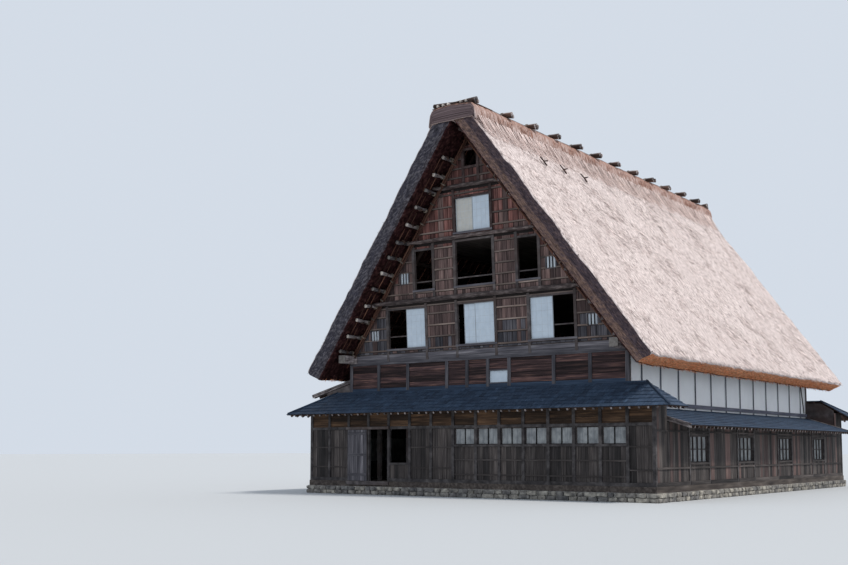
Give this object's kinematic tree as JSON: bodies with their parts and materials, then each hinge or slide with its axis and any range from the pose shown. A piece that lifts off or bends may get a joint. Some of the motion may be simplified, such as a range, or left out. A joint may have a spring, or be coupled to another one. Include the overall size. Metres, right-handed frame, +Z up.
{
  "type": "steep-roofed thatched farmhouse",
  "caption": "Long timber farmhouse with a steep thatched roof, tall board gables, low skirt roofs and a sliding board door.",
  "frame": {"origin": "on the ground under the middle of the house", "axes": "+Z up, ridge along Y, front gable facing -Y, +X to the right seen from the front"},
  "size_m": [16.26, 21.76, 14.268],
  "materials": {
    "stone": "rough grey field stone",
    "wall_boards": "reddish-brown weathered boards with greyer posts",
    "weathered_wood": "grey weathered boards",
    "log_timber": "dark smoked logs with paler cut ends",
    "floor_boards": "worn planks",
    "plaster": "matt white lime plaster between dark posts",
    "shoji_paper": "matt white paper on thin bars",
    "roof_shingles": "dark blue-grey board shingles",
    "thatch": "dry weathered thatch, grey-brown",
    "ridge_thatch": "reddish-brown older thatch"
  },
  "bodies": {
    "house": {"door_head_rail": "weathered_wood", "door_sill_rail": "weathered_wood", "front_aisle_wall_left": "wall_boards", "front_aisle_wall_right": "wall_boards", "front_center_sashes_2": "shoji_paper", "front_gable_wall_2": "wall_boards", "front_gable_wall_3": "wall_boards", "front_gable_wall_4": "wall_boards", "front_gable_wall_5": "wall_boards", "front_ground_sashes": "shoji_paper", "front_left_sash_2": "shoji_paper", "front_mezzanine_sash": "shoji_paper", "front_mezzanine_wall": "wall_boards", "front_right_sash_2": "shoji_paper", "front_sashes_4": "shoji_paper", "front_skirt_roof": "roof_shingles", "front_wall_left_of_door": "wall_boards", "front_wall_over_door": "wall_boards", "front_wall_right_of_door": "wall_boards", "ground_floor_deck": "floor_boards", "left_eave_wall": "plaster", "left_ground_sashes": "shoji_paper", "left_ground_wall": "wall_boards", "left_lean_to_roof": "roof_shingles", "left_roof_frame": "log_timber", "left_thatch": "thatch", "loft_floor_2": "floor_boards", "loft_floor_3": "floor_boards", "loft_floor_4": "floor_boards", "loft_floor_5": "floor_boards", "rear_aisle_wall_left": "wall_boards", "rear_aisle_wall_right": "wall_boards", "rear_center_sashes_2": "shoji_paper", "rear_gable_wall_2": "wall_boards", "rear_gable_wall_3": "wall_boards", "rear_gable_wall_4": "wall_boards", "rear_gable_wall_5": "wall_boards", "rear_ground_sashes": "shoji_paper", "rear_ground_wall": "wall_boards", "rear_left_sash_2": "shoji_paper", "rear_mezzanine_sash": "shoji_paper", "rear_mezzanine_wall": "wall_boards", "rear_right_sash_2": "shoji_paper", "rear_sashes_4": "shoji_paper", "rear_skirt_roof": "roof_shingles", "ridge_cap": "ridge_thatch", "ridge_pole": "log_timber", "ridge_poles_and_cross_logs": "log_timber", "right_eave_wall": "plaster", "right_ground_sashes": "shoji_paper", "right_ground_wall": "wall_boards", "right_roof_frame": "log_timber", "right_skirt_roof": "roof_shingles", "right_thatch": "thatch", "stone_footing": "stone"},
    "door": {"entrance_door": "weathered_wood"}
  },
  "joints": [
    {"name": "entrance_door_slide", "type": "slide", "parent": "house", "child": "door", "axis": [1, 0, 0], "range_m": [0, 0.97]}
  ]
}
